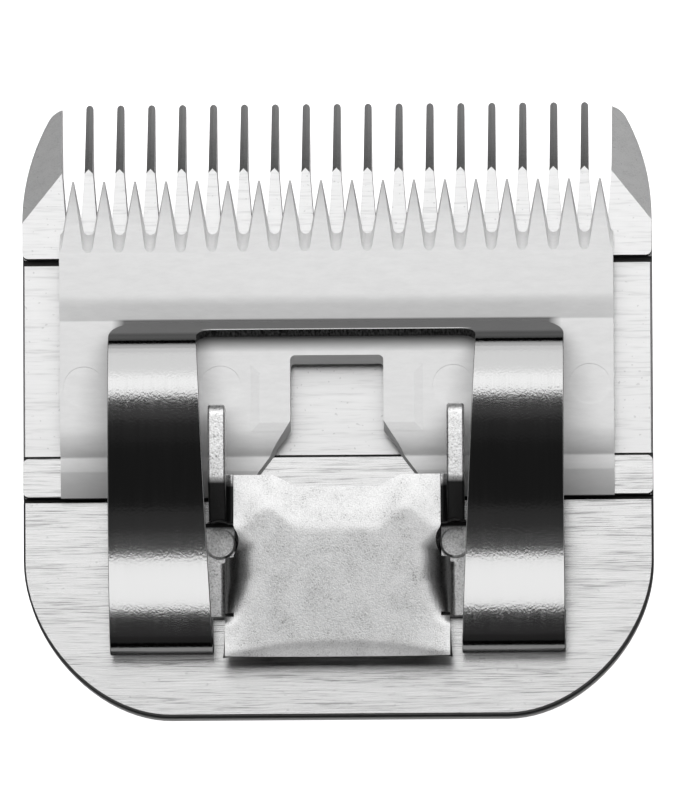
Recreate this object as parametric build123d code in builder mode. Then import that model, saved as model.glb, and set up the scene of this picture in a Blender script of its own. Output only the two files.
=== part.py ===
from build123d import *
import os
from math import atan2, cos, radians, sin, sqrt, tan

# A detachable hair clipper blade: a toothed comb, a cutter that slides sideways on it, the spring that
# presses the cutter down, the socket that the clipper's tongue enters, and two screws from below.
# Sizes are in millimetres. +X runs across the teeth, +Y is the way the teeth point and +Z is up.
# The origin is under the middle of the comb, on its flat underside. A setback is a distance
# towards -Y.

# Fits between the pieces
slide_film = 0.02
spring_film = 0.03
screw_clearance = 0.1
thread_clearance = 0.02
head_clearance = 0.05
head_recess = 0.12
bridge_clearance = 0.77

# Comb: plate and rails
comb_length = 48.53
plate_height = 3.9
rail_height = 5.0
front_rail_setback = 12.54
rear_rail_width = 3.0
rail_corner = 0.45
relief_depth = 0.6
front_relief_width = 0.46
rear_relief_width = 0.36
step_relief_width = 0.3
step_relief_depth = 0.25
edge_break = 0.15
rear_corner_run = 11.46
rear_corner_rise = 12.25
rear_corner_fullness = 0.5

# Comb: narrow teeth and corner teeth
tooth_count = 17
tooth_pitch = 2.43
tooth_tip_width = 0.56
tooth_neck_width = 0.62
tooth_root_width = 1.4
tooth_gap_depth = 11.2
tooth_slope_length = 5.5
tooth_tip_height = 1.2
tooth_ridge_angle = 31
skid_length = 1.4
skid_height = 0.55
corner_tooth_width = 3.08
corner_tooth_setback = 0.3
corner_flank_length = 8.0
corner_flank_run = 1.96
corner_shoulder_setback = 9.2
corner_slope_setback = 9.75
corner_slope_front_setback = 5.9

# Cutter
cutter_setback = 6.53
cutter_length = 24.95
cutter_end_margin = 1.02
cutter_tip_width = 0.16
cutter_tip_height = 0.45
cutter_bevel_length = 5.97
cutter_bar_height = 3.2
cutter_bar_width = 3.73
cutter_bar_slope = 1.52
cutter_floor_height = 2.3
cutter_ledge_height = 1.0
cutter_ledge_width = 1.15
cutter_tail_angle = 55
cutter_tail_bend = 2.6
cutter_rear_slope = 2.0
cutter_rear_height = 0.5
cutter_hollow_depth = 0.5
cutter_front_pad = 6.2
cutter_rear_pad = 3.6
cutter_soft_edge = 0.25
cutter_gap_depth = 3.65
cutter_gap_round = 0.44
cutter_gap_rake = 29

# Cutter: drive notch, the pads beside it and the round moulding marks
notch_width = 7.3
notch_setback = 14.67
notch_rake = 16
notch_corner = 0.4
notch_straight = 5.3
notch_mouth_angle = 37
pad_height = 0.4
pad_width = 2.4
pad_length = 3.9
pad_gap = 0.75
pad_slope = 60
mark_radius = 1.6
mark_depth = 0.08
mark_setback = 16.4
mark_inner_x = 9.1
mark_outer_x = 19.8

# Screws
screw_spacing = 18.4
screw_setback = 3.74
screw_radius = 1.2
screw_head_radius = 2.4
screw_end_rise = 0.35
screw_end_chamfer = 0.15
cross_width = 0.55
cross_length = 2.4
cross_depth = 0.9

# Socket, one stamped sheet
sheet = 1.35
bridge_width = 17.6
bridge_front_setback = 5.2
bridge_length = 14.11
bridge_front_slope = 3.6
bridge_front_angle = 11
bridge_front_bend = 9.0
bridge_rear_slope = 0.95
bridge_rear_angle = 22
bridge_rear_bend = 2.0
bridge_bay_width = 10.0
bridge_bay_depth = 0.95
bridge_bay_corner = 0.5
ear_span = 20.0
ear_bend = 0.55
ear_height = 3.2
ear_reach = 5.2
ear_drop = 0.7
ear_back_setback = 1.34
ear_back_run = 3.05
ear_corner = 0.9
leg_length = 4.2
leg_front_bend = 1.9
leg_rear_bend = 0.4
leg_inner_bend = 0.3
leg_foot_bend = 0.4
flange_front_setback = 1.65
flange_overhang = 4.0
screw_relief = 0.3

# Tension spring, one bent leaf
leaf = 0.65
spring_width = 35.6
lip_angle = 60
lip_bend = 2.5
lip_corner = 2.5
crossbar_height = 1.5
window_corner = 1.2
window_taper = 2.8
ear_gap = 0.2
arch_height = 13.0
arch_reach = 11.3
loop_radius = 2.6
loop_gap = 0.15
lip_gap = 0.17
eye_radius = 2.1

# Places along Y, worked out from the tooth tips backwards
tip_y = comb_length / 2
rear_y = -comb_length / 2
front_rail_y = tip_y - front_rail_setback
cutter_tip_y = tip_y - cutter_setback
cutter_rear_y = cutter_tip_y - cutter_length
rear_rail_y = cutter_rear_y + edge_break
notch_y = cutter_tip_y - notch_setback
screw_y = cutter_rear_y - screw_setback
bridge_front_y = screw_y + bridge_front_setback
bridge_rear_y = bridge_front_y - bridge_length
relief_radius = screw_radius + screw_relief
leg_front_y = screw_y - relief_radius
leg_rear_y = leg_front_y - leg_length
ear_rear_y = screw_y + ear_back_setback

# Places along X
outer_gap_x = tooth_pitch * tooth_count / 2
corner_inner_x = outer_gap_x + (tooth_pitch - tooth_tip_width) / 2
comb_side_x = corner_inner_x + corner_tooth_width
cutter_side_x = outer_gap_x + cutter_end_margin
screw_x = screw_spacing / 2
leg_outer_x = bridge_width / 2
leg_inner_x = leg_outer_x - sheet
ear_outer_x = ear_span / 2
ear_inner_x = ear_outer_x - sheet

# Heights
cutter_z = rail_height + slide_film
cutter_floor_z = cutter_z + cutter_floor_height
flange_z = plate_height + leaf
flange_top_z = flange_z + sheet
bridge_front_z = cutter_z + cutter_ledge_height + bridge_clearance + sheet / 2
bridge_mid_z = bridge_front_z + bridge_front_slope * tan(radians(bridge_front_angle))
bridge_top_z = bridge_mid_z + sheet / 2
bridge_under_z = bridge_mid_z - sheet / 2
both_sides = (-1, 1)


os.makedirs("parts", exist_ok=True)

# Comb
with BuildSketch() as comb_outline:
    with BuildLine():
        rear = Line((0, rear_y), (comb_side_x - rear_corner_run, rear_y))
        corner_end = Vector(comb_side_x, rear_y + rear_corner_rise)
        Bezier(
            rear @ 1,
            rear @ 1 + Vector(rear_corner_run * rear_corner_fullness, 0),
            corner_end - Vector(0, rear_corner_rise * rear_corner_fullness),
            corner_end,
        )
        side = Line(corner_end, (comb_side_x, tip_y - corner_shoulder_setback))
        flank_end = side @ 1 + Vector(-corner_flank_run, corner_flank_length)
        flank = TangentArc(side @ 1, flank_end, tangent=side % 1)
        nose_rise = tip_y - corner_tooth_setback - flank_end.Y
        nose_run = nose_rise * tan(radians(45) + atan2(corner_flank_run, corner_flank_length))
        nose = TangentArc(flank_end, flank_end + Vector(-nose_run, nose_rise), tangent=flank % 1)
        Polyline(nose @ 1, (outer_gap_x, tip_y - corner_tooth_setback), (outer_gap_x, tip_y), (0, tip_y))
        mirror(about=Plane.YZ)
    make_face()

with BuildSketch() as comb_gap:
    with BuildLine():
        root_half = (tooth_pitch - tooth_root_width) / 2
        neck_half = (tooth_pitch - tooth_neck_width) / 2
        tip_half = (tooth_pitch - tooth_tip_width) / 2
        root_y = tip_y - tooth_gap_depth + root_half
        tip_round = tooth_tip_width / 2
        side = Polyline(
            (root_half, root_y), (neck_half, tip_y - tooth_slope_length), (tip_half, tip_y - tip_round)
        )
        RadiusArc(side @ 1, (tooth_pitch / 2, tip_y), tip_round)
        Polyline((tooth_pitch / 2, tip_y), (tooth_pitch / 2, tip_y + tip_round), (0, tip_y + tip_round))
        RadiusArc((root_half, root_y), (0, root_y - root_half), root_half)
        mirror(about=Plane.YZ)
    make_face()

with BuildPart() as comb:
    add(comb_outline.sketch)
    extrude(amount=plate_height)
    chamfer(comb.faces().sort_by(Axis.Z)[-1].outer_wire().edges(), edge_break)

    # Rails, with the teeth on the front one
    with BuildSketch(Plane.XY.offset(plate_height - edge_break)) as rails:
        add(comb_outline.sketch)
        with Locations((0, front_rail_y)):
            Rectangle(
                2 * comb_side_x, comb_length, align=(Align.CENTER, Align.MIN), mode=Mode.INTERSECT
            )
        fillet(rails.vertices().group_by(Axis.Y)[0], rail_corner)
        with Locations((0, rear_rail_y + rear_rail_width / 2)):
            RectangleRounded(2 * comb_side_x, rear_rail_width, rail_corner)
    extrude(amount=rail_height - plate_height + edge_break)

    # Grinding reliefs behind both rails and in front of the rear one
    with BuildSketch(Plane.XY.offset(plate_height)):
        with Locations((0, front_rail_y)):
            Rectangle(2 * comb_side_x, front_relief_width, align=(Align.CENTER, Align.MAX))
        with Locations((0, rear_rail_y)):
            Rectangle(2 * comb_side_x, rear_relief_width, align=(Align.CENTER, Align.MAX))
    extrude(amount=-relief_depth, mode=Mode.SUBTRACT)
    with BuildSketch(Plane.XY.offset(plate_height)):
        with Locations((0, rear_rail_y + rear_rail_width)):
            Rectangle(2 * comb_side_x, step_relief_width, align=(Align.CENTER, Align.MIN))
    extrude(amount=-step_relief_depth, mode=Mode.SUBTRACT)

    # Ridged slope along the tops of the narrow teeth
    slope_drop = rail_height - tooth_tip_height
    slope_y = tip_y - tooth_slope_length
    slope_overrun = Vector(0, -tooth_slope_length, slope_drop) * 0.5
    slope_start = Vector(0, slope_y, rail_height) + slope_overrun
    with BuildSketch(
        Plane(slope_start, x_dir=(1, 0, 0), z_dir=(0, tooth_slope_length, -slope_drop))
    ):
        with BuildLine():
            valley = tooth_pitch / 2 * tan(radians(tooth_ridge_angle))
            ridge_x = outer_gap_x + tooth_pitch / 2
            zigzag = [(-comb_side_x, -comb_length), (-comb_side_x, 0)]
            for tooth in range(tooth_count + 2):
                centre_x = tooth * tooth_pitch - ridge_x
                zigzag += [(centre_x, 0), (centre_x + tooth_pitch / 2, valley)]
            zigzag = zigzag[:-1] + [(comb_side_x, 0), (comb_side_x, -comb_length)]
            Polyline(zigzag, close=True)
        make_face()
    extrude(amount=2 * tooth_slope_length + slope_drop, mode=Mode.SUBTRACT)

    # Slanted tops of the corner teeth
    slant_front = Vector(corner_inner_x, tip_y - corner_slope_front_setback, rail_height)
    slant_side = Vector(comb_side_x, tip_y - corner_slope_setback, rail_height)
    slant_tip = Vector(corner_inner_x, tip_y - corner_tooth_setback, tooth_tip_height)
    slant_normal = (slant_tip - slant_front).cross(slant_side - slant_front)
    with BuildSketch(Plane(slant_front, x_dir=slant_side - slant_front, z_dir=-slant_normal)):
        Rectangle(4 * corner_flank_length, 4 * corner_flank_length)
    slants = extrude(amount=comb_length, mode=Mode.SUBTRACT)
    mirror(slants, about=Plane.YZ, mode=Mode.SUBTRACT)

    # Gaps between the teeth
    with BuildSketch():
        with GridLocations(tooth_pitch, tooth_pitch, tooth_count + 1, 1):
            add(comb_gap.sketch)
    extrude(amount=rail_height, mode=Mode.SUBTRACT)

    # Rounded skids under the tips
    with BuildSketch(Plane.YZ):
        with BuildLine():
            skid = RadiusArc((tip_y - skid_length, 0), (tip_y, skid_height), -2 * skid_length)
            Polyline(skid @ 1, (tip_y, 0), skid @ 0)
        make_face()
    extrude(amount=comb_side_x, both=True, mode=Mode.SUBTRACT)

    # Screw holes, countersunk from below
    with Locations(*[Location((side * screw_x, screw_y, 0), (180, 0, 0)) for side in both_sides]):
        CounterSinkHole(
            screw_radius + screw_clearance,
            screw_head_radius + head_clearance + head_recess,
            counter_sink_angle=90,
        )
comb.part.label = "comb"
export_step(comb.part, "parts/comb.step")

# Cutter
bar_front_y = cutter_tip_y - cutter_bevel_length
bar_rear_y = bar_front_y - cutter_bar_width
trough_y = bar_rear_y - cutter_bar_slope
ledge_rear_y = cutter_rear_y + cutter_rear_slope
ledge_front_y = ledge_rear_y + cutter_ledge_width
tail_y = ledge_front_y + (cutter_floor_height - cutter_ledge_height) / tan(radians(cutter_tail_angle))
bar_z = cutter_z + cutter_bar_height
ledge_z = cutter_z + cutter_ledge_height
hollow_z = cutter_z + cutter_hollow_depth

with BuildSketch() as cutter_gap:
    with BuildLine():
        round_y = cutter_gap_round - cutter_gap_depth
        mouth_half = (tooth_pitch - cutter_tip_width) / 2
        Polyline((cutter_gap_round, round_y), (mouth_half, 0), (mouth_half, cutter_length), (0, cutter_length))
        RadiusArc((cutter_gap_round, round_y), (0, -cutter_gap_depth), cutter_gap_round)
        mirror(about=Plane.YZ)
    make_face()

with BuildPart() as cutter:
    with BuildSketch(Plane.YZ):
        with BuildLine():
            FilletPolyline(
                (cutter_tip_y, cutter_z),
                (cutter_tip_y, cutter_z + cutter_tip_height),
                (bar_front_y, bar_z),
                (bar_rear_y, bar_z),
                (trough_y, cutter_floor_z),
                (tail_y, cutter_floor_z),
                (ledge_front_y, ledge_z),
                (ledge_rear_y, ledge_z),
                (cutter_rear_y, cutter_z + cutter_rear_height),
                (cutter_rear_y, cutter_z),
                (cutter_rear_y + cutter_rear_pad, cutter_z),
                (cutter_rear_y + cutter_rear_pad, hollow_z),
                (cutter_tip_y - cutter_front_pad, hollow_z),
                (cutter_tip_y - cutter_front_pad, cutter_z),
                radius=[0, 0] + 3 * [cutter_soft_edge] + [cutter_tail_bend] + 2 * [cutter_soft_edge] + 6 * [0],
                close=True,
            )
        make_face()
    extrude(amount=cutter_side_x, both=True)

    # Raised pads, which the notch then divides
    pad_base = notch_width + 2 * (pad_width + pad_height * tan(radians(pad_slope)))
    pad_y = notch_y - pad_gap - pad_length / 2
    with BuildSketch(Plane.XY.offset(cutter_floor_z)):
        with Locations((0, pad_y)):
            Rectangle(pad_base, pad_length + 2 * pad_height * tan(radians(pad_slope)))
    extrude(amount=pad_height, taper=pad_slope)

    # Drive notch, open to the rear
    mouth_run = (notch_y - notch_straight - cutter_rear_y + pad_height) * tan(radians(notch_mouth_angle))
    with BuildSketch(Plane.XY.offset(cutter_z)):
        with BuildLine():
            notch_half = notch_width / 2
            FilletPolyline(
                (notch_half, notch_y - notch_straight),
                (notch_half, notch_y),
                (-notch_half, notch_y),
                (-notch_half, notch_y - notch_straight),
                (-notch_half - mouth_run, cutter_rear_y - pad_height),
                (notch_half + mouth_run, cutter_rear_y - pad_height),
                radius=[0, notch_corner, notch_corner, 0, 0, 0],
                close=True,
            )
        make_face()
    extrude(amount=2 * cutter_bar_height, dir=(0, tan(radians(notch_rake)), 1), mode=Mode.SUBTRACT)

    # Gaps between the teeth, with roots raked back
    rake = radians(cutter_gap_rake)
    with BuildSketch(Plane((0, cutter_tip_y, cutter_z), x_dir=(1, 0, 0), z_dir=(0, -sin(rake), cos(rake)))):
        with GridLocations(tooth_pitch, tooth_pitch, tooth_count + 2, 1):
            add(cutter_gap.sketch)
    extrude(amount=cutter_length, both=True, mode=Mode.SUBTRACT)

    # Round moulding marks
    mark_y = cutter_tip_y - mark_setback
    with BuildSketch(Plane.XY.offset(cutter_floor_z)):
        with Locations(*[(side * x, mark_y) for side in both_sides for x in (mark_inner_x, mark_outer_x)]):
            Circle(mark_radius)
    extrude(amount=-mark_depth, mode=Mode.SUBTRACT)
cutter.part.label = "cutter"
export_step(cutter.part, "parts/cutter.step")

# Socket
flange_front_y = screw_y + flange_front_setback
flange_x = screw_x + flange_overhang
tab_x = ear_inner_x - ear_bend
ear_mid_x = ear_inner_x + sheet / 2
ear_bend_z = bridge_mid_z + ear_bend + sheet / 2
ear_top_z = bridge_top_z + ear_height
bridge_rear_drop = bridge_rear_slope * tan(radians(bridge_rear_angle))
bay_y = bridge_front_y - bridge_bay_depth

with BuildPart() as socket:
    # Bridge, sloped at the front and curled down at the rear
    with BuildSketch(Plane.YZ):
        with BuildLine():
            FilletPolyline(
                (bridge_front_y, bridge_front_z),
                (bridge_front_y - bridge_front_slope, bridge_mid_z),
                (bridge_rear_y + bridge_rear_slope, bridge_mid_z),
                (bridge_rear_y, bridge_mid_z - bridge_rear_drop),
                radius=[bridge_front_bend, bridge_rear_bend],
            )
        trace(line_width=sheet)
    extrude(amount=leg_outer_x + ear_outer_x)
    with BuildSketch():
        with BuildLine():
            FilletPolyline(
                (0, bridge_rear_y - sheet),
                (leg_outer_x, bridge_rear_y - sheet),
                (leg_outer_x, leg_rear_y),
                (leg_inner_x - sheet / 2, leg_rear_y),
                (leg_inner_x - sheet / 2, leg_front_y),
                (tab_x, leg_front_y),
                (tab_x, bridge_front_y + sheet),
                (bridge_bay_width / 2, bridge_front_y + sheet),
                (bridge_bay_width / 2, bay_y),
                (0, bay_y),
                radius=[0, 0, 0, 0, 0, 0, 0, bridge_bay_corner],
            )
            Line((0, bay_y), (0, bridge_rear_y - sheet))
        make_face()
    extrude(amount=ear_top_z, mode=Mode.INTERSECT)

    # Ear, bent up from the bridge
    with BuildSketch(Plane.XZ.offset(-bridge_front_y)):
        with BuildLine():
            TangentArc((tab_x, bridge_mid_z), (ear_mid_x, ear_bend_z), tangent=(1, 0))
        trace(line_width=sheet)
    extrude(amount=bridge_front_y - ear_rear_y)
    with BuildSketch(Plane.YZ.offset(ear_inner_x)):
        with BuildLine():
            FilletPolyline(
                (ear_rear_y, ear_bend_z),
                (ear_rear_y + ear_back_run, ear_top_z),
                (bridge_front_y + ear_reach, ear_top_z),
                (bridge_front_y + ear_reach, bridge_top_z - ear_drop),
                (bridge_front_y, bridge_top_z - ear_drop),
                (bridge_front_y, ear_bend_z),
                radius=[0, ear_corner, ear_corner, ear_corner, 0, 0],
                close=True,
            )
        make_face()
    extrude(amount=sheet)

    # Leg, bent down from the bridge and out to the flange
    for section_y, bend in ((leg_front_y, leg_front_bend), (leg_rear_y, leg_rear_bend)):
        with BuildSketch(Plane.XZ.offset(-section_y)):
            with BuildLine():
                FilletPolyline(
                    (leg_inner_x - sheet, bridge_top_z),
                    (leg_outer_x, bridge_top_z),
                    (leg_outer_x, flange_top_z),
                    (flange_x, flange_top_z),
                    (flange_x, flange_z),
                    (leg_inner_x, flange_z),
                    (leg_inner_x, bridge_under_z),
                    (leg_inner_x - sheet, bridge_under_z),
                    radius=[0, bend, leg_foot_bend, 0, 0, leg_foot_bend + sheet / 2, leg_inner_bend, 0],
                    close=True,
                )
            make_face()
    loft(ruled=True)
    with BuildSketch(Plane.XY.offset(flange_z)):
        with Locations((flange_x, leg_front_y)):
            Rectangle(flange_x - leg_inner_x, flange_front_y - leg_front_y, align=(Align.MAX, Align.MIN))
    extrude(amount=sheet)

    # Threaded hole in the flange, and the relief around the screw's end
    with BuildSketch(Plane.XY.offset(flange_z)):
        with Locations((screw_x, screw_y)):
            Circle(screw_radius + thread_clearance)
    extrude(amount=sheet, mode=Mode.SUBTRACT)
    with BuildSketch(Plane.XY.offset(flange_top_z)):
        with Locations((screw_x, screw_y)):
            Circle(relief_radius)
    extrude(amount=ear_top_z, mode=Mode.SUBTRACT)
    mirror(about=Plane.YZ)
socket.part.label = "socket"
export_step(socket.part, "parts/socket.step")

# Tension spring: middle line of the leaf in the YZ plane, from the lip's foot to the bottom of the loop
lip_rise = Vector(-cos(radians(lip_angle)), sin(radians(lip_angle)))
lip_inward = Vector(-sin(radians(lip_angle)), -cos(radians(lip_angle)))
lip_foot = Vector(
    trough_y - lip_gap - leaf / 2 * sin(radians(lip_angle)),
    cutter_floor_z + spring_film + leaf / 2 * cos(radians(lip_angle)),
)
loop_centre = Vector(leg_rear_y - loop_gap, plate_height + leaf / 2 + loop_radius)
arch_rise = arch_height - loop_centre.Y
arch_radius = (arch_reach**2 + arch_rise**2 - loop_radius**2) / (2 * (arch_rise - loop_radius))
arch_centre = loop_centre + Vector(arch_reach, arch_rise - arch_radius)
bend_start = lip_foot + lip_inward * lip_bend - arch_centre
bend_along = bend_start.dot(lip_rise)
bend_span = sqrt(bend_along**2 - bend_start.dot(bend_start) + (arch_radius - lip_bend) ** 2)
bend_centre = arch_centre + bend_start + lip_rise * (bend_span - bend_along)
lip_top = bend_centre - lip_inward * lip_bend
arch_front = arch_centre + (bend_centre - arch_centre).normalized() * arch_radius
arch_rear = arch_centre + (loop_centre - arch_centre).normalized() * arch_radius
loop_bottom = loop_centre - Vector(0, loop_radius)


def window_half(y):
    return ear_outer_x + ear_gap + (y - ear_rear_y) * tan(radians(window_taper))


with BuildPart() as tension_spring:
    with BuildSketch(Plane.YZ):
        with BuildLine():
            lip = Line(lip_foot, lip_top)
            bend = TangentArc(lip_top, arch_front, tangent=lip % 1)
            arch = TangentArc(arch_front, arch_rear, tangent=bend % 1)
            TangentArc(arch_rear, loop_bottom, tangent=arch % 1)
        trace(line_width=leaf)
    extrude(amount=spring_width / 2, both=True)
    lip_plane = Plane((0, lip_foot.X, lip_foot.Y), x_dir=(1, 0, 0), z_dir=(0, -lip_inward.X, -lip_inward.Y))
    lip_ends = tension_spring.edges().filter_by(Axis((0, 0, 0), lip_plane.z_dir)).group_by(Axis.Z)[0]
    fillet(lip_ends, lip_corner)

    # Window between the arms, first through the lip and then straight down behind it
    with BuildSketch(lip_plane) as lip_window:
        with Locations((0, -crossbar_height)):
            Rectangle(2 * window_half(lip_top.X), arch_rise, align=(Align.CENTER, Align.MAX))
        fillet(lip_window.vertices().group_by(Axis.Y)[-1], window_corner)
    extrude(amount=lip_bend, both=True, mode=Mode.SUBTRACT)
    window_end = loop_centre.X - 2 * loop_radius
    with BuildSketch():
        with BuildLine():
            Polyline(
                (-window_half(lip_top.X), lip_top.X),
                (window_half(lip_top.X), lip_top.X),
                (window_half(window_end), window_end),
                (-window_half(window_end), window_end),
                close=True,
            )
        make_face()
    extrude(amount=2 * arch_height, mode=Mode.SUBTRACT)

    # Lower leaves, each with an eye for its screw
    for side in both_sides:
        with BuildSketch(Plane.XY.offset(plate_height)) as lower_leaf:
            with Locations((side * screw_x, screw_y)):
                Circle(eye_radius)
            arm_inner_x = window_half(loop_centre.X)
            with Locations((side * (spring_width / 2 + arm_inner_x) / 2, loop_centre.X)):
                Rectangle(spring_width / 2 - arm_inner_x, leaf, align=(Align.CENTER, Align.MIN))
            make_hull(lower_leaf.edges())
            with Locations((side * screw_x, screw_y)):
                Circle(screw_radius + screw_clearance, mode=Mode.SUBTRACT)
        extrude(amount=leaf)
tension_spring.part.label = "tension_spring"
export_step(tension_spring.part, "parts/tension_spring.step")

# Screws
with BuildPart() as screws:
    screw_end_z = flange_top_z + screw_end_rise
    with BuildSketch(Plane.XZ.offset(-screw_y)):
        with BuildLine():
            Polyline(
                (screw_x, head_recess),
                (screw_x + screw_head_radius, head_recess),
                (screw_x + screw_radius, head_recess + screw_head_radius - screw_radius),
                (screw_x + screw_radius, screw_end_z - screw_end_chamfer),
                (screw_x + screw_radius - screw_end_chamfer, screw_end_z),
                (screw_x, screw_end_z),
                close=True,
            )
        make_face()
    revolve(axis=Axis((screw_x, screw_y, 0), (0, 0, 1)))
    with BuildSketch(Plane.XY.offset(head_recess)):
        with Locations((screw_x, screw_y)):
            Rectangle(cross_length, cross_width)
            Rectangle(cross_width, cross_length)
    extrude(amount=cross_depth, mode=Mode.SUBTRACT)
    mirror(about=Plane.YZ)
screws.part.label = "screws"
export_step(screws.part, "parts/screws.step")
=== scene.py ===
import bpy
import bmesh
import math
from mathutils import Matrix, Vector


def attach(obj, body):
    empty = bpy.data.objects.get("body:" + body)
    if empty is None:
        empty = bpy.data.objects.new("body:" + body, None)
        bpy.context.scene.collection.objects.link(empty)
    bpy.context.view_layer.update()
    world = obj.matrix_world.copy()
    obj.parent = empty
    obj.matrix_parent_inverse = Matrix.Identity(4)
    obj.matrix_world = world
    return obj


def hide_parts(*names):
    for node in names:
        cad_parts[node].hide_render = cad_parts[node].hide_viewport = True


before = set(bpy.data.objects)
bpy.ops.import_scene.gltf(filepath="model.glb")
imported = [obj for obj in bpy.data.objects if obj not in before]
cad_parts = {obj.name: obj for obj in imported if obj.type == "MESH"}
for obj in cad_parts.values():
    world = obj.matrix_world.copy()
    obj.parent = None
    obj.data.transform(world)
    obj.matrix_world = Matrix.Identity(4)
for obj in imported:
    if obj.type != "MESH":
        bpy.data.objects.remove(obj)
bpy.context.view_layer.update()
mm = 0.001


def linear(hexColour):  # sRGB hex to linear RGBA
    channels = [int(hexColour[i:i + 2], 16) / 255 for i in (1, 3, 5)]
    return [c / 12.92 if c <= 0.04045 else ((c + 0.055) / 1.055) ** 2.4 for c in channels] + [1.0]


def addNode(tree, kind, values={}, links={}, **settings):
    node = tree.nodes.new(kind)
    for name, value in settings.items():
        setattr(node, name, value)
    for socket, value in values.items():
        node.inputs[socket].default_value = value
    for socket, source in links.items():
        tree.links.new(source, node.inputs[socket])
    return node


def startMaterial(name, values):
    material = bpy.data.materials.new(name)
    material.use_nodes = True
    tree = material.node_tree
    shader = tree.nodes["Principled BSDF"]
    for socket, value in values.items():
        shader.inputs[socket].default_value = value
    place = addNode(tree, "ShaderNodeTexCoord").outputs["Object"]
    return material, tree, shader, place


def sizedNoise(tree, place, size, detail, roughness=0.5):  # size of its grains along X, Y and Z in mm
    sized = addNode(tree, "ShaderNodeMapping", {"Scale": [1 / (s * mm) for s in size]}, {"Vector": place})
    noise = addNode(tree, "ShaderNodeTexNoise", {"Scale": 1.0, "Detail": detail, "Roughness": roughness},
                    {"Vector": sized.outputs["Vector"]})
    return noise.outputs["Fac"]


def colourRamp(tree, source, stops):  # stops from low to high, each a value and its colour
    ramp = addNode(tree, "ShaderNodeValToRGB", {}, {"Fac": source})
    elements = ramp.color_ramp.elements
    for element, (at, colour) in zip(elements, (stops[0], stops[-1])):
        element.position, element.color = at, linear(colour)
    for at, colour in stops[1:-1]:
        elements.new(at).color = linear(colour)
    return ramp.outputs["Color"]


def tonesAlong(tree, place, stops):  # colours at places along Y in mm
    first, last = stops[0][0], stops[-1][0]
    axes = addNode(tree, "ShaderNodeSeparateXYZ", {}, {"Vector": place})
    along = addNode(tree, "ShaderNodeMapRange", {"From Min": first * mm, "From Max": last * mm},
                    {"Value": axes.outputs["Y"]})
    return colourRamp(tree, along.outputs["Result"], [((at - first) / (last - first), c) for at, c in stops])


# Lays a second colour over a material's own, where all of its fades overlap. A fade is an axis, the place
# where it starts and the place where it is full, in mm. X counts outwards from the middle.
def overlay(material, colour, fades):
    tree = material.node_tree
    base = tree.nodes["Principled BSDF"].inputs["Base Color"]
    place = addNode(tree, "ShaderNodeTexCoord").outputs["Object"]
    axes = addNode(tree, "ShaderNodeSeparateXYZ", {}, {"Vector": place})
    strength = None
    for axis, start, full in fades:
        along = axes.outputs[axis]
        if axis == "X":
            along = addNode(tree, "ShaderNodeMath", {}, {0: along}, operation="ABSOLUTE").outputs["Value"]
        fade = addNode(tree, "ShaderNodeMapRange", {"From Min": start * mm, "From Max": full * mm},
                       {"Value": along}).outputs["Result"]
        if strength is None:
            strength = fade
        else:
            strength = addNode(tree, "ShaderNodeMath", {}, {0: strength, 1: fade},
                               operation="MULTIPLY").outputs["Value"]
    mixed = addNode(tree, "ShaderNodeMix", {"B": linear(colour)},
                    {"Factor": strength, "A": base.links[0].from_socket}, data_type="RGBA")
    tree.links.new(mixed.outputs["Result"], base)


def addRelief(tree, shader, height, strength, depth):  # depth in mm
    relief = addNode(tree, "ShaderNodeBump", {"Strength": strength, "Distance": depth * mm},
                     {"Height": height})
    tree.links.new(relief.outputs["Normal"], shader.inputs["Normal"])


# Camera, straight over the blade and a little behind it
view = {
    "target": (0.12, 0.43, 5.0),  # mm
    "towards": (0.022, -0.11, 1.0),
    "distance": 2.0, "frameHeight": 0.06266, "clipStart": 0.01,  # metres
    "roll": -0.27,  # degrees
    "sensor": 36,  # mm
}
camera = bpy.data.objects.new("camera", bpy.data.cameras.new("camera"))
bpy.context.scene.collection.objects.link(camera)
back = Vector(view["towards"]).normalized()
right = Vector((0, 1, 0)).cross(back).normalized()
turn = Matrix((right, back.cross(right), back)).transposed().to_4x4()
camera.matrix_world = (
    Matrix.Translation(Vector(view["target"]) * mm + back * view["distance"])
    @ turn
    @ Matrix.Rotation(math.radians(view["roll"]), 4, "Z")
)
camera.data.sensor_width = view["sensor"]
camera.data.lens = view["sensor"] * view["distance"] / view["frameHeight"]
camera.data.clip_start = view["clipStart"]
bpy.context.scene.camera = camera
bpy.context.scene.view_settings.view_transform = "Standard"
print("camera placed")

# Pale floor, lit a little from within so that it stays white, and kept out of the metals' reflections
floorHalf = 3.0  # metres
floorMesh = bpy.data.meshes.new("floor")
bm = bmesh.new()
bmesh.ops.create_grid(bm, x_segments=1, y_segments=1, size=floorHalf)
bm.to_mesh(floorMesh)
bm.free()
floor = bpy.data.objects.new("floor", floorMesh)
bpy.context.scene.collection.objects.link(floor)
paper = startMaterial("pale_paper", {
    "Base Color": linear("#f4f4f4"), "Roughness": 0.9,
    "Emission Color": linear("#ffffff"), "Emission Strength": 0.9,
})
floorMesh.materials.append(paper[0])
floor.visible_glossy = False
print("floor placed")

# Ground steel: the wheel leaves long fine scratches across the plate, along X, so it shines in streaks
# with a dark line here and there. The real lines are about 0.02 mm wide, and are drawn coarser to show.
grinding = {
    "bandSize": (16.0, 0.7, 0.7), "bandShare": 0.3, "depth": 0.01,  # mm
    "pitSize": (0.3, 0.25, 0.25), "pitFrom": 0.78, "pitFull": 0.82, "pitColour": "#4a4a4a",
    "stops": {"dark": 0.34, "colour": 0.47, "light": 0.66}, "noiseRoughness": 0.6,
}


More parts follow.
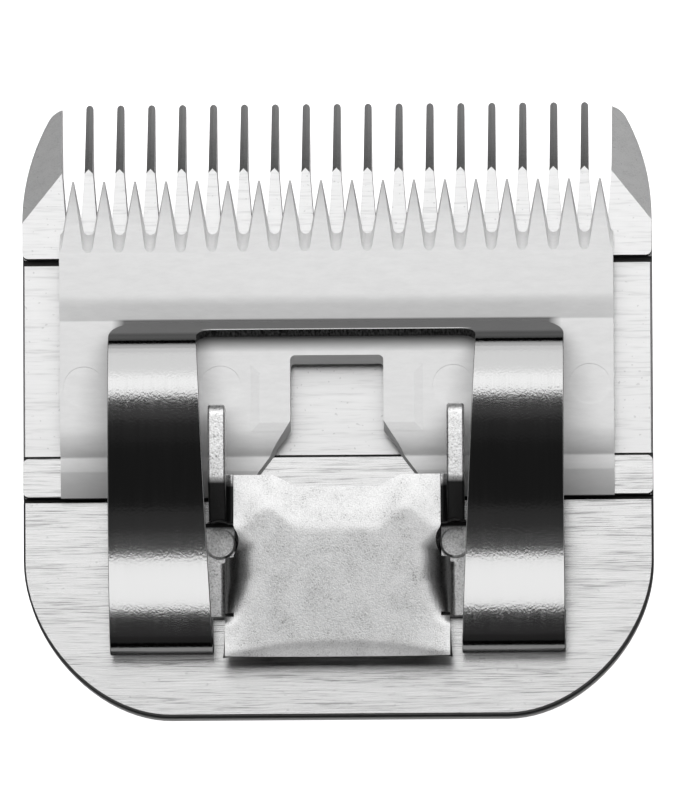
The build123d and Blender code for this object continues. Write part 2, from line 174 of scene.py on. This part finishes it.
def groundSteel(name, finish):
    material, tree, shader, place = startMaterial(name, {
        "Metallic": finish["metallic"], "Roughness": finish["roughness"], "Anisotropic": finish["anisotropy"],
    })
    lineSize = (finish["lineLength"], finish["lineWidth"], finish["lineWidth"])
    fine, broad, grit = [
        sizedNoise(tree, place, size, detail, grinding["noiseRoughness"])
        for size, detail in ((lineSize, 2.0), (grinding["bandSize"], 1.0), (grinding["pitSize"], 0.0))
    ]
    lines = addNode(tree, "ShaderNodeMix", {"Factor": grinding["bandShare"]}, {"A": fine, "B": broad})
    stops = [(at, finish[tone]) for tone, at in grinding["stops"].items()]
    shade = colourRamp(tree, lines.outputs["Result"], stops)
    pits = addNode(tree, "ShaderNodeMapRange", {
        "From Min": grinding["pitFrom"], "From Max": grinding["pitFull"], "To Max": finish["pits"],
    }, {"Value": grit})
    pitted = addNode(tree, "ShaderNodeMix", {"B": linear(grinding["pitColour"])},
                     {"Factor": pits.outputs["Result"], "A": shade}, data_type="RGBA")
    tree.links.new(pitted.outputs["Result"], shader.inputs["Base Color"])
    addRelief(tree, shader, fine, strength=finish["relief"], depth=grinding["depth"])
    grain = addNode(tree, "ShaderNodeTangent", direction_type="UV_MAP", uv_map="grain")
    tree.links.new(grain.outputs["Tangent"], shader.inputs["Tangent"])
    return material


plateSteel = groundSteel("ground_steel_plate", {
    "colour": "#d2d2d2", "light": "#dcdcdc", "dark": "#9c9c9c",
    "roughness": 0.22, "anisotropy": 0.5, "metallic": 1.0,
    "lineLength": 3.0, "lineWidth": 0.08, "pits": 0.15, "relief": 0.25,
})
lappedSteel = groundSteel("lapped_steel_rail", {  # rails and front flats, brighter and with fainter lines
    "colour": "#f0f0f0", "light": "#f4f4f4", "dark": "#e0e0e0",
    "roughness": 0.36, "anisotropy": 0.4, "metallic": 1.0,
    "lineLength": 3.0, "lineWidth": 0.2, "pits": 0.2, "relief": 0.1,
})
# The tooth slopes are the plate's ground steel, darkened as painted shade
toothSteel = groundSteel("ground_steel_tooth", {
    "colour": "#747474", "light": "#7e7e7e", "dark": "#686868",
    "roughness": 0.34, "anisotropy": 0.4, "metallic": 1.0,
    "lineLength": 0.3, "lineWidth": 0.09, "pits": 0.2, "relief": 0.2,
})
overlay(toothSteel, "#a4a4a4", [("Y", 19, 24)])  # painted light: the teeth pale towards their tips
# The corner slopes are the same ground steel, paler as painted light
cornerSteel = groundSteel("ground_steel_corner", {
    "colour": "#eeeeee", "light": "#f4f4f4", "dark": "#e2e2e2",
    "roughness": 0.4, "anisotropy": 0.4, "metallic": 1.0,
    "lineLength": 0.3, "lineWidth": 0.09, "pits": 0.2, "relief": 0.2,
})
flankSteel = groundSteel("milled_steel_flank", {  # the milled gaps are matt and take up the floor's light
    "colour": "#d8d8d8", "light": "#e0e0e0", "dark": "#cccccc",
    "roughness": 0.6, "anisotropy": 0.0, "metallic": 0.2,
    "lineLength": 0.3, "lineWidth": 0.09, "pits": 0.2, "relief": 0.2,
})
edgeShadeSteel = groundSteel("blackened_steel_edge", {  # the plate's outside is darkened as painted shade
    "colour": "#202020", "light": "#282828", "dark": "#181818",
    "roughness": 0.5, "anisotropy": 0.0, "metallic": 0.2,
    "lineLength": 0.6, "lineWidth": 0.2, "pits": 0.3, "relief": 0.3,
})
overlay(edgeShadeSteel, "#a0a0a0", [("Z", 2.5, 1.0)])  # and pales towards its foot as painted light

# The relief grooves are painted black, as painted shade
grooveShade, tree, shader, place = startMaterial("oily_groove", {"Roughness": 0.4})
grooveMottle = sizedNoise(tree, place, (1.5, 0.3, 0.3), detail=2.0)
tree.links.new(colourRamp(tree, grooveMottle, [(0.35, "#0c0c0c"), (0.75, "#2c2c2c")]), shader.inputs["Base Color"])

# White zirconia ceramic, pressed and fired: smooth and dense, with a faint mottle where the powder packed
# unevenly. The flats are white; the tooth tips and the rear edge are darkened with painted shade.
ceramic, tree, shader, place = startMaterial("white_ceramic", {"Roughness": 0.42, "IOR": 1.5})
mottle = sizedNoise(tree, place, (1.6, 0.5, 0.5), detail=4.0, roughness=0.7)
powder = colourRamp(tree, mottle, [(0.3, "#e9e9e9"), (0.7, "#f1f1f1")])
tipAndRearShade = tonesAlong(tree, place, [
    (-7.0, "#b8b8b8"), (-5.375, "#d2d2d2"), (-4.75, "#e8e8e8"), (-3.5, "#f4f4f4"), (-1.5, "#ffffff"),
    (14.0, "#ffffff"), (16.0, "#f0f0f0"), (18.0, "#c8c8c8"),
])
shadedPowder = addNode(tree, "ShaderNodeMix", {"Factor": 1.0}, {"A": powder, "B": tipAndRearShade},
                data_type="RGBA", blend_type="MULTIPLY")
tree.links.new(shadedPowder.outputs["Result"], shader.inputs["Base Color"])
addRelief(tree, shader, mottle, strength=0.2, depth=0.01)
overlay(ceramic, "#5a5a5a", [  # a painted shadow behind the crossbar
    ("Y", 4.0, 5.2), ("Y", 6.65, 6.5), ("X", 17.6, 16.6),
])

# Polished spring steel strip: mirrors the softboxes, with the polishing mop's lines along the strip
# and a slight orange peel that frays the edge of each reflection
springSteel, tree, shader, place = startMaterial("polished_spring_steel", {"Metallic": 1.0})
bendAndLipShade = tonesAlong(tree, place, [  # painted shade: dark at the bend and dull on the lip
    (4.1, "#d0d0d0"), (4.49, "#484848"), (5.14, "#484848"), (5.4, "#787878"),
])
tree.links.new(bendAndLipShade, shader.inputs["Base Color"])
overlay(springSteel, "#ffffff", [  # a painted highlight along the crossbar's edge
    ("Y", 5.53, 5.55), ("Y", 5.68, 5.64), ("X", 10.6, 9.6),
])
peel = sizedNoise(tree, place, (0.14, 0.2, 0.2), detail=1.0)
addRelief(tree, shader, peel, strength=0.5, depth=0.01)
mop = sizedNoise(tree, place, (0.12, 5.0, 5.0), detail=2.0)
gloss = addNode(tree, "ShaderNodeMapRange", {
    "From Min": 0.3, "From Max": 0.7, "To Min": 0.11, "To Max": 0.15,
}, {"Value": mop})
tree.links.new(gloss.outputs["Result"], shader.inputs["Roughness"])

# Sheared edges of sheet and strip: torn by the punch, rough and dark
shearedSteel, tree, shader, place = startMaterial("sheared_spring_steel", {"Metallic": 1.0, "Roughness": 0.5})
torn = sizedNoise(tree, place, (0.15, 0.3, 0.3), detail=2.0)
tree.links.new(colourRamp(tree, torn, [(0.35, "#1a1a1a"), (0.7, "#484848")]), shader.inputs["Base Color"])
addRelief(tree, shader, torn, strength=0.6, depth=0.05)

# Tumbled steel: the stones leave a fine dimpled skin that the plating follows, so it glitters in small
# specks, with broader clouds. Real dimples are about 0.1 mm; on the ears and screws they are drawn coarser.
tumbling = {
    "cloudShare": 0.35, "depth": 0.03,  # mm
    "stops": {"speck": 0.33, "dark": 0.39, "light": 0.6}, "noiseRoughness": 0.6,
}


def tumbledSteel(name, finish):
    material, tree, shader, place = startMaterial(name, {"Metallic": 1.0, "Roughness": finish["roughness"]})
    dimples, clouds = [
        sizedNoise(tree, place, 3 * [finish[size]], detail, tumbling["noiseRoughness"])
        for size, detail in (("dimple", 2.0), ("cloud", 3.0))
    ]
    struck = addNode(tree, "ShaderNodeMix", {"Factor": tumbling["cloudShare"]}, {"A": dimples, "B": clouds})
    stops = [(at, finish[tone]) for tone, at in tumbling["stops"].items()]
    shade = colourRamp(tree, struck.outputs["Result"], stops)
    tree.links.new(shade, shader.inputs["Base Color"])
    addRelief(tree, shader, dimples, strength=finish["relief"], depth=tumbling["depth"])
    return material


platedSheet = tumbledSteel("tumbled_nickel_plate", {
    "light": "#dadada", "dark": "#c0c0c0", "speck": "#868686",
    "roughness": 0.28, "dimple": 0.1, "cloud": 1.6, "relief": 0.6,
})
earSteel = tumbledSteel("tumbled_nickel_ear", {  # the ears and flanges are rougher than the bridge
    "light": "#ffffff", "dark": "#d8d8d8", "speck": "#a0a0a0",
    "roughness": 0.4, "dimple": 0.16, "cloud": 1.0, "relief": 0.8,
})
overlay(earSteel, "#343434", [("Y", -6.2, -6.8), ("Y", -9.8, -9.6)])  # painted shade on the ears' backs
screwSteel = tumbledSteel("cut_screw_steel", {
    "light": "#eeeeee", "dark": "#c0c0c0", "speck": "#a0a0a0",
    "roughness": 0.45, "dimple": 0.14, "cloud": 1.0, "relief": 0.4,
})
print("materials made")

weld = {"copy": 0.001, "cut": 0.005}  # mm within which corners are joined
roundAbove = 50  # degrees: edges of a sheet that are sharper than this are rounded


def smoothFaces(bm):
    for face in bm.faces:
        face.smooth = True


def markSharp(bm, angle):  # edges that bend more than this many degrees
    for edge in bm.edges:
        edge.smooth = edge.is_manifold and edge.calc_face_angle() < math.radians(angle)


# Each CAD node is copied with its triangles joined, so that its curves shade smoothly, and given the map
# that turns the streaks in the ground steel's shine
def joinedCopy(node, sharpAngle):
    bm = bmesh.new()
    bm.from_mesh(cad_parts[node].data)
    bmesh.ops.remove_doubles(bm, verts=bm.verts, dist=weld["copy"] * mm)
    grain = bm.loops.layers.uv.new("grain")
    for face in bm.faces:
        for loop in face.loops:
            loop[grain].uv = (loop.vert.co.y / mm, loop.vert.co.x / mm)
    smoothFaces(bm)
    markSharp(bm, sharpAngle)
    return bm


def everything(bm):
    return bm.verts[:] + bm.edges[:] + bm.faces[:]


def cutAcross(bm, cuts, slack=0):  # each cut is an axis and a place along it, in mm
    for axis, at in cuts:
        normal = Vector((0, 0, 0))
        normal[axis] = 1
        bmesh.ops.bisect_plane(bm, geom=everything(bm), plane_co=normal * at * mm, plane_no=normal,
                               dist=slack * mm)


def closeCuts(bm):  # caps the ends where a copy was cut
    bmesh.ops.remove_doubles(bm, verts=bm.verts, dist=weld["cut"] * mm)
    openEdges = [e for e in bm.edges if e.is_boundary]
    for edge in openEdges:
        edge.smooth = False
    caps = bmesh.ops.holes_fill(bm, edges=openEdges, sides=0)["faces"]
    bmesh.ops.triangulate(bm, faces=caps)
    bmesh.ops.recalc_face_normals(bm, faces=bm.faces)


pieces = []


def placePiece(bm, name, node, body, materials):
    mesh = bpy.data.meshes.new(name)
    bm.to_mesh(mesh)
    bm.free()
    for material in materials:
        mesh.materials.append(material)
    piece = bpy.data.objects.new(name, mesh)
    bpy.context.scene.collection.objects.link(piece)
    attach(piece, body)
    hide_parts(node)
    pieces.append(piece)
    return piece


# Gives a sheet its thickness, with the second material on its sheared edges, and rounds those edges a little
def thicken(piece, thickness, offset, edgeRound, segments):
    wall = piece.modifiers.new("sheet", "SOLIDIFY")
    wall.thickness, wall.offset, wall.material_offset_rim = thickness * mm, offset, 1
    rounding = piece.modifiers.new("edges", "BEVEL")
    rounding.width, rounding.segments, rounding.harden_normals = edgeRound * mm, segments, True
    rounding.limit_method, rounding.angle_limit = "ANGLE", math.radians(roundAbove)


# Comb
comb = {
    "plateHeight": 3.9, "railHeight": 5.0, "rearFrom": -3.6, "grooveFloor": 1.0,  # mm
    "cornerFrom": 21.0, "gapsFrom": 13.0, "slack": 0.05,
    "level": 0.99, "groove": 0.9, "slope": 0.5, "wall": 0.3,  # upward part of each kind of face's normal
}
combSteels = [plateSteel, lappedSteel, toothSteel, cornerSteel, grooveShade, flankSteel, edgeShadeSteel]
bm = joinedCopy("comb", sharpAngle=20)
for face in bm.faces:
    centre, up = face.calc_center_median() / mm, face.normal.z
    offTop = min(abs(centre.z - comb[height]) for height in ("plateHeight", "railHeight"))
    if up > comb["level"] and offTop < comb["slack"]:
        steel = plateSteel if centre.y < comb["rearFrom"] else lappedSteel
    elif up < -comb["level"]:
        steel = plateSteel
    elif up > comb["groove"] and comb["grooveFloor"] < centre.z < comb["plateHeight"]:
        steel = grooveShade
    elif up > comb["slope"] and abs(centre.x) > comb["cornerFrom"] and centre.y > 0:
        steel = cornerSteel
    elif abs(up) < comb["wall"]:
        steel = flankSteel if centre.y > comb["gapsFrom"] else edgeShadeSteel
    else:
        steel = toothSteel
    face.material_index = combSteels.index(steel)
placePiece(bm, "comb_ground", "comb", "base", combSteels)

# Cutter: its pressed forms are softer than in the CAD, at the bar's rear edge and the low pads
cutter = {
    "barEdge": 8.04, "barTop": 8.22, "topBand": 0.05, "edgeRun": 0.064, "softRun": 0.45,  # mm
    "floor": 7.32, "padsBehind": 5.5, "padHeight": 0.45, "floorSlack": 0.02,
    "barSlope": 0.592, "padSink": 0.65, "edgeSlack": 0.02,  # ratios
}
bm = joinedCopy("cutter", sharpAngle=20)
for v in bm.verts:
    y, z = v.co.y / mm, v.co.z / mm
    over = (1 - (y - cutter["barEdge"]) / cutter["edgeRun"]) / 2  # from 0 to 1 over the edge's rounding
    if -cutter["edgeSlack"] < over < 1 + cutter["edgeSlack"] and z > cutter["barTop"] - cutter["topBand"]:
        v.co.y = (cutter["barEdge"] + cutter["softRun"] * (1 - 2 * over)) * mm
        v.co.z = (cutter["barTop"] - cutter["barSlope"] * cutter["softRun"] * over ** 2) * mm
    elif y < cutter["padsBehind"] and cutter["floorSlack"] < z - cutter["floor"] < cutter["padHeight"]:
        v.co.z -= (z - cutter["floor"]) * cutter["padSink"] * mm
placePiece(bm, "cutter_fired", "cutter", "cutter", [ceramic])

# Tension spring: the lip is a flat blank, and the two arms are spun back from its top edge
spring = {
    "leaf": 0.65, "halfWidth": 17.8,  # mm and degrees
    "lipFoot": (6.064, 7.513), "lipAngle": 60, "lipLength": 2.983, "lipCorner": 2.5,
    "crossbar": 1.5, "windowCorner": 1.2, "windowFront": 10.894, "windowTaper": 2.8,
    "bendRadius": 2.5, "bendTurn": 36.38, "bendSteps": 12,
    "archCentre": (-5.505, -9.246), "archTurn": 58.73, "archSteps": 60,
    "loopCentre": (-16.805, 6.825), "loopTurn": 144.89, "loopSteps": 44,
    "cornerSteps": 10, "edgeRound": 0.07, "edgeSteps": 2, "slack": 0.001, "leavesBelow": 5.0,
}
lipAngle = math.radians(spring["lipAngle"])
rise = Vector((0, -math.cos(lipAngle), math.sin(lipAngle)))
foot = Vector((0, *spring["lipFoot"]))
lipTop = foot + rise * spring["lipLength"]
bendCentre = lipTop + Vector((0, -rise.z, rise.y)) * spring["bendRadius"]
half, lipCorner, lipLength = spring["halfWidth"], spring["lipCorner"], spring["lipLength"]
window, windowCorner, crossbar = spring["windowFront"], spring["windowCorner"], spring["crossbar"]
blank = [  # across, up the lip, corner radius
    (-half, 0, lipCorner), (half, 0, lipCorner), (half, lipLength, 0), (window, lipLength, 0),
    (window, crossbar, windowCorner), (-window, crossbar, windowCorner), (-window, lipLength, 0),
    (-half, lipLength, 0),
]
bm = bmesh.new()
corners = [bm.verts.new((foot + rise * up + Vector((across, 0, 0))) * mm) for across, up, radius in blank]
bm.faces.new(corners)
for size in (lipCorner, windowCorner):
    rounded = [v for v, (across, up, radius) in zip(corners, blank) if radius == size]
    bmesh.ops.bevel(bm, geom=rounded, offset=size * mm, offset_type="OFFSET", segments=spring["cornerSteps"],
                    profile=0.5, affect="VERTICES", material=-1)
armEnds = [e for e in bm.edges if min(v.co.z for v in e.verts) > (lipTop.z - spring["slack"]) * mm]
for centre, turnBy, steps in (
    (bendCentre, spring["bendTurn"], spring["bendSteps"]),
    (Vector((0, *spring["archCentre"])), spring["archTurn"], spring["archSteps"]),
    (Vector((0, *spring["loopCentre"])), spring["loopTurn"], spring["loopSteps"]),
):
    made = bmesh.ops.spin(bm, geom=armEnds, cent=centre * mm, axis=(1, 0, 0), angle=math.radians(turnBy),
                          steps=steps)
    armEnds = [e for e in made["geom_last"] if isinstance(e, bmesh.types.BMEdge)]
taper = math.tan(math.radians(spring["windowTaper"]))
for v in bm.verts:  # the arms' inner edges draw together towards the rear
    if v.co.y < (lipTop.y - spring["slack"]) * mm and abs(v.co.x) < (window + spring["slack"]) * mm:
        v.co.x = math.copysign(window * mm + (v.co.y - lipTop.y * mm) * taper, v.co.x)
bmesh.ops.recalc_face_normals(bm, faces=bm.faces)
smoothFaces(bm)
piece = placePiece(bm, "tension_spring_polished", "tension_spring", "base",
                   [springSteel, shearedSteel])
thicken(piece, spring["leaf"], offset=0, edgeRound=spring["edgeRound"], segments=spring["edgeSteps"])

# The spring's lower leaves, under the socket's flanges
bm = joinedCopy("tension_spring", sharpAngle=35)
bmesh.ops.bisect_plane(bm, geom=everything(bm), plane_co=(0, spring["loopCentre"][0] * mm, 0),
                       plane_no=(0, 1, 0), clear_inner=True)
bmesh.ops.delete(bm, geom=[v for v in bm.verts if v.co.z > spring["leavesBelow"] * mm], context="VERTS")
closeCuts(bm)
placePiece(bm, "tension_spring_leaves", "tension_spring", "base", [springSteel])

# Socket: one stamped sheet. The bridge is a blank whose sides are bent down into the legs.
socket = {
    "sheet": 1.35, "top": 8.84, "front": -5.755, "rear": -20.1,  # mm and degrees
    "blankHalf": 12.0, "grid": 0.25,
    "tabHalf": 8.1, "legOuter": 8.8, "legFront": -12.2, "legRear": -16.655, "slot": 0.3,
    "legBend": 0.7, "legFoot": 6.2, "earRear": -9.7, "flangeTop": 6.4,
    "bayHalf": 5.0, "bayFlat": 3.2, "bayRear": -6.705,
    "screw": (9.2, -10.955), "screwRelief": 1.5, "squeezeFrom": 6.5,
    "rampFrom": -10.0, "rampDrop": 0.7, "shoulderAt": 5.4, "shoulderHalf": 2.6, "shoulder": 1.7, "soft": 0.32,
    "rollRadius": 3.2, "rollFrom": 6.1, "rollFront": -9.1, "rollFull": -11.6,
    "rollFade": -14.0, "rollEnd": -17.6,
    "rearSlope": 0.95, "rearAngle": 22, "cornerLift": 0.35, "cornerFrom": (4.5, -16.6),
    "cornerPower": 1.5, "rollFadePower": 0.35, "edgeRound": 0.15, "edgeSteps": 3,
    "cutSlack": 0.02, "legSlack": 0.03, "flatAngle": 1, "sharpAngle": 35,
}
bm = bmesh.new()
bmesh.ops.create_grid(bm, x_segments=round(2 * socket["blankHalf"] / socket["grid"]),
                      y_segments=round((socket["front"] - socket["rear"]) / socket["grid"]), size=1)
for v in bm.verts:
    v.co.x *= socket["blankHalf"] * mm
    v.co.y = (socket["rear"] + (socket["front"] - socket["rear"]) * (v.co.y + 1) / 2) * mm
slotRear = socket["legRear"] - socket["slot"]
cuts = [(1, at) for at in (socket["legFront"], socket["legRear"], slotRear, socket["bayRear"])]
cuts += [(0, sign * socket[edge]) for sign in (-1, 1) for edge in ("bayHalf", "tabHalf", "legOuter")]
cutAcross(bm, cuts, socket["cutSlack"])
bayDepth = socket["front"] - socket["bayRear"]
bayRun = socket["bayHalf"] - socket["bayFlat"]
for sign in (-1, 1):  # the bay's slanted ends
    middles = {f: f.calc_center_median() for f in bm.faces}
    ends = [f for f in bm.faces if middles[f].y > socket["bayRear"] * mm and middles[f].x * sign > 0]
    ends += list({e for f in ends for e in f.edges}) + list({v for f in ends for v in f.verts})
    bmesh.ops.bisect_plane(bm, geom=ends, plane_co=(sign * socket["bayHalf"] * mm, socket["front"] * mm, 0),
                           plane_no=(sign * bayDepth, -bayRun, 0), dist=socket["cutSlack"] * mm)
waste = []
for face in bm.faces:
    centre = face.calc_center_median() / mm
    bayEnd = socket["bayHalf"] - bayRun / bayDepth * (socket["front"] - centre.y)
    halfWidth = socket["tabHalf"]
    if socket["legRear"] < centre.y < socket["legFront"]:
        halfWidth = socket["blankHalf"]
    elif centre.y < slotRear:
        halfWidth = socket["legOuter"]
    if abs(centre.x) > halfWidth or (centre.y > socket["bayRear"] and abs(centre.x) < bayEnd):
        waste.append(face)
bmesh.ops.delete(bm, geom=waste, context="FACES")


def eased(run):  # how far along a slope whose start is rounded
    soft = socket["soft"]
    return (run + soft) ** 2 / (4 * soft) if abs(run) < soft else max(run, 0)


def share(at, start, full):  # from 0 at the start to 1
    return min(max((at - start) / (full - start), 0), 1)


def besideScrew(x, y):  # the sheet's edge draws back round the screw
    reach = socket["screwRelief"] ** 2 - (y - socket["screw"][1]) ** 2
    edge = min(socket["screw"][0] - math.sqrt(max(reach, 0)), socket["tabHalf"])
    squeeze = (edge - socket["squeezeFrom"]) / (socket["tabHalf"] - socket["squeezeFrom"])
    return socket["squeezeFrom"] + (x - socket["squeezeFrom"]) * squeeze


def topHeight(x, y):  # the ramp in front with its two shoulders, the slope at the rear and the lifted corners
    beside = min(abs(x - socket["shoulderAt"]) / socket["shoulderHalf"], 1)
    rampFrom = socket["rampFrom"] + socket["shoulder"] * (1 + math.cos(math.pi * beside)) / 2
    ramp = socket["rampDrop"] / (socket["front"] - rampFrom) * eased(y - rampFrom)
    rearFrom = socket["rear"] + socket["rearSlope"] * (1 - (x / socket["legOuter"]) ** 2)
    rear = math.tan(math.radians(socket["rearAngle"])) * eased(rearFrom - y)
    cornerX, cornerY = socket["cornerFrom"]
    curl = max(x - cornerX, 0) / (socket["legOuter"] - cornerX)
    curl *= max(cornerY - y, 0) / (cornerY - socket["rear"])
    return socket["top"] - ramp - rear + socket["cornerLift"] * curl ** socket["cornerPower"]


def rollDown(x, y, onLeg):  # the rolled side, then on the legs a tight bend and straight down
    full = share(y, socket["rollFront"], socket["rollFull"])
    full *= share(y, socket["rollEnd"], socket["rollFade"]) ** socket["rollFadePower"]
    radius, bend = socket["rollRadius"], socket["legBend"]
    start = socket["legOuter"] + (socket["rollFrom"] - socket["legOuter"]) * full
    rollTurn = math.pi / 2
    if onLeg:
        rollTurn = math.asin(max(socket["legOuter"] - bend - start, 0) / (radius - bend))
    run = min(max(x - start, 0), radius * math.sin(rollTurn))
    drop = radius - math.sqrt(radius ** 2 - run ** 2)
    past = x - start - run
    if onLeg and past > 0:
        turned = min(rollTurn + past / bend, math.pi / 2)
        x = start + run + bend * (math.sin(turned) - math.sin(rollTurn))
        drop += bend * (math.cos(rollTurn) - math.cos(turned))
        drop += max(past - bend * (math.pi / 2 - rollTurn), 0)
    return x, drop


for v in bm.verts:
    x, y = abs(v.co.x / mm), v.co.y / mm
    onLeg = socket["legRear"] - socket["legSlack"] < y < socket["legFront"] + socket["legSlack"]
    if not onLeg and x > socket["squeezeFrom"] and y > socket["legFront"]:
        x = besideScrew(x, y)
    z = topHeight(x, y)
    x, drop = rollDown(x, y, onLeg)
    v.co.x = math.copysign(x, v.co.x) * mm
    v.co.z = max(z - drop, socket["legFoot"]) * mm
bmesh.ops.remove_doubles(bm, verts=bm.verts, dist=weld["cut"] * mm)
smoothFaces(bm)
piece = placePiece(bm, "socket_bridge", "socket", "base", [platedSheet, shearedSteel])
thicken(piece, socket["sheet"], offset=-1, edgeRound=socket["edgeRound"], segments=socket["edgeSteps"])

# The ears stand beside the bridge and the flanges lie under its legs
bm = joinedCopy("socket", sharpAngle=180)
bmesh.ops.dissolve_limit(bm, angle_limit=math.radians(socket["flatAngle"]), verts=bm.verts, edges=bm.edges)
markSharp(bm, socket["sharpAngle"])
sheared = []
for edge in bm.edges:
    middle = (edge.verts[0].co + edge.verts[1].co) / 2 / mm
    if not edge.smooth and middle.y > socket["earRear"] and abs(middle.x) > socket["tabHalf"]:
        sheared.append(edge)
bmesh.ops.bevel(bm, geom=sheared, offset=socket["edgeRound"] * mm, offset_type="OFFSET",
                segments=socket["edgeSteps"], profile=0.5, affect="EDGES", clamp_overlap=False, material=-1)
cutAcross(bm, [
    (0, socket["tabHalf"]), (0, -socket["tabHalf"]), (2, socket["flangeTop"]), (1, socket["earRear"]),
])
bridge = []
for face in bm.faces:
    centre = face.calc_center_median() / mm
    if abs(centre.x) < socket["tabHalf"] or (centre.z > socket["flangeTop"] and centre.y < socket["earRear"]):
        bridge.append(face)
bmesh.ops.delete(bm, geom=bridge, context="FACES")
closeCuts(bm)
smoothFaces(bm)
placePiece(bm, "socket_ears", "socket", "base", [earSteel])

bm = joinedCopy("screws", sharpAngle=35)
placePiece(bm, "screws_turned", "screws", "base", [screwSteel])
print("pieces placed")

# Softboxes, each reaching only some of the pieces. "from" and "to" are the angles that one spans, from
# overhead down, and "turn" is where it stands round the blade, 0 in front and 180 behind.
lampDistance = 0.5  # metres
lights = {
    # wide boxes over the steel, the cutter and the socket
    "topBox": {"from": 0, "to": 45, "turn": 0, "width": 0.5, "radiance": 1.5, "reach": "metals"},
    "cutterBox": {"from": -12, "to": 40, "turn": 0, "width": 0.5, "radiance": 2.9, "reach": "cutter"},
    "socketTop": {"from": 0, "to": 18, "turn": 0, "width": 0.5, "radiance": 1.2, "reach": "socket"},
    "socketFront": {"from": 18, "to": 52, "turn": 0, "width": 0.6, "radiance": 1.6, "reach": "socket"},
    "socketRear": {"from": 6, "to": 55, "turn": 180, "width": 0.5, "radiance": 0.6, "reach": "socket"},
    # low cards for the tooth slopes
    "leftCard": {"from": 62, "to": 89, "turn": -42, "width": 0.3, "radiance": 1.5, "reach": "metals"},
    "rightCard": {"from": 62, "to": 89, "turn": 42, "width": 0.3, "radiance": 1.5, "reach": "metals"},
    # walls all round, mostly for low views
    "leftWall": {"from": 40, "to": 85, "turn": -90, "width": 1.0, "radiance": 0.5, "reach": "sides"},
    "rightWall": {"from": 40, "to": 85, "turn": 90, "width": 1.0, "radiance": 0.5, "reach": "sides"},
    "rearWall": {"from": 45, "to": 85, "turn": 180, "width": 1.0, "radiance": 0.5, "reach": "ends"},
    "frontWall": {"from": 50, "to": 85, "turn": 0, "width": 0.5, "radiance": 0.5, "reach": "ends"},
    # for the spring a box in front that fades downwards and one behind, dark in between
    "overSpill": {"from": -12, "to": 15, "turn": 0, "width": 0.9, "radiance": 0.012, "reach": "spring"},
    "frontDusk": {"from": 15, "to": 24, "turn": 0, "width": 0.9, "radiance": 0.02, "reach": "spring"},
    "frontSpill": {"from": 24, "to": 34, "turn": 0, "width": 0.9, "radiance": 0.05, "reach": "spring"},
    "frontBox": {"from": 34, "to": 43, "turn": 0, "width": 0.9, "radiance": 1.4, "reach": "spring"},
    "frontFade": {"from": 43, "to": 54, "turn": 0, "width": 0.9, "radiance": 1.0, "reach": "spring"},
    "frontLow": {"from": 54, "to": 70, "turn": 0, "width": 0.9, "radiance": 0.85, "reach": "spring"},
    "frontFoot": {"from": 70, "to": 89, "turn": 0, "width": 0.9, "radiance": 0.6, "reach": "spring"},
    "rearDusk": {"from": 12, "to": 22, "turn": 180, "width": 0.9, "radiance": 0.036, "reach": "spring"},
    "rearSpill": {"from": 22, "to": 31, "turn": 180, "width": 0.9, "radiance": 0.07, "reach": "spring"},
    "rearBox": {"from": 31, "to": 53, "turn": 180, "width": 0.9, "radiance": 1.3, "reach": "spring"},
    "rearFoot": {"from": 55, "to": 66, "turn": 180, "width": 0.9, "radiance": 0.03, "reach": "spring"},
    "rearLow": {"from": 66, "to": 89, "turn": 180, "width": 0.9, "radiance": 0.02, "reach": "spring"},
}


def named(*starts):
    return [p for p in pieces if p.name.startswith(starts)]


reaches = {"spring": named("tension_spring"), "cutter": named("cutter"), "socket": named("socket")}
reaches["metals"] = named("comb", "screws") + [floor]
reaches["sides"] = reaches["metals"] + reaches["spring"]
reaches["ends"] = reaches["metals"] + reaches["socket"]


def hangLamp(name, size, radiance, matrix, reach):  # size in metres
    lamp = bpy.data.lights.new(name, "AREA")
    lamp.shape = "RECTANGLE"
    lamp.size, lamp.size_y = size
    lamp.energy = radiance * math.pi * lamp.size * lamp.size_y
    lampObject = bpy.data.objects.new(name, lamp)
    lampObject.matrix_world = matrix
    lampObject.visible_camera = False
    bpy.context.scene.collection.objects.link(lampObject)
    lit = bpy.data.collections.new(name + "_reach")
    for piece in reaches[reach]:
        lit.objects.link(piece)
    lampObject.light_linking.receiver_collection = lit


for name, box in lights.items():
    height = 2 * lampDistance * math.tan(math.radians((box["to"] - box["from"]) / 2))
    matrix = (
        Matrix.Rotation(math.radians(-box["turn"]), 4, "Z")
        @ Matrix.Rotation(math.radians(-(box["from"] + box["to"]) / 2), 4, "X")
        @ Matrix.Translation((0, 0, lampDistance))
    )
    hangLamp(name, (box["width"], height), box["radiance"], matrix, box["reach"])

# A lit sheet on the floor close behind the blade, for the foot of the spring's loops
rearSheet = {"size": (100, 12), "place": (0, -34, 0.5), "radiance": 0.32}  # mm
facingUp = Matrix.Translation(Vector(rearSheet["place"]) * mm) @ Matrix.Rotation(math.pi, 4, "X")
hangLamp("rearSheet", [side * mm for side in rearSheet["size"]], rearSheet["radiance"], facingUp, "spring")

# Dim studio all round, also kept out of the reflections, so that the metals keep their contrast
world = bpy.data.worlds.new("studio")
world.use_nodes = True
world.node_tree.nodes["Background"].inputs["Color"].default_value = linear("#ffffff")
world.node_tree.nodes["Background"].inputs["Strength"].default_value = 0.12
world.cycles_visibility.glossy = False
bpy.context.scene.world = world
print("lights placed")
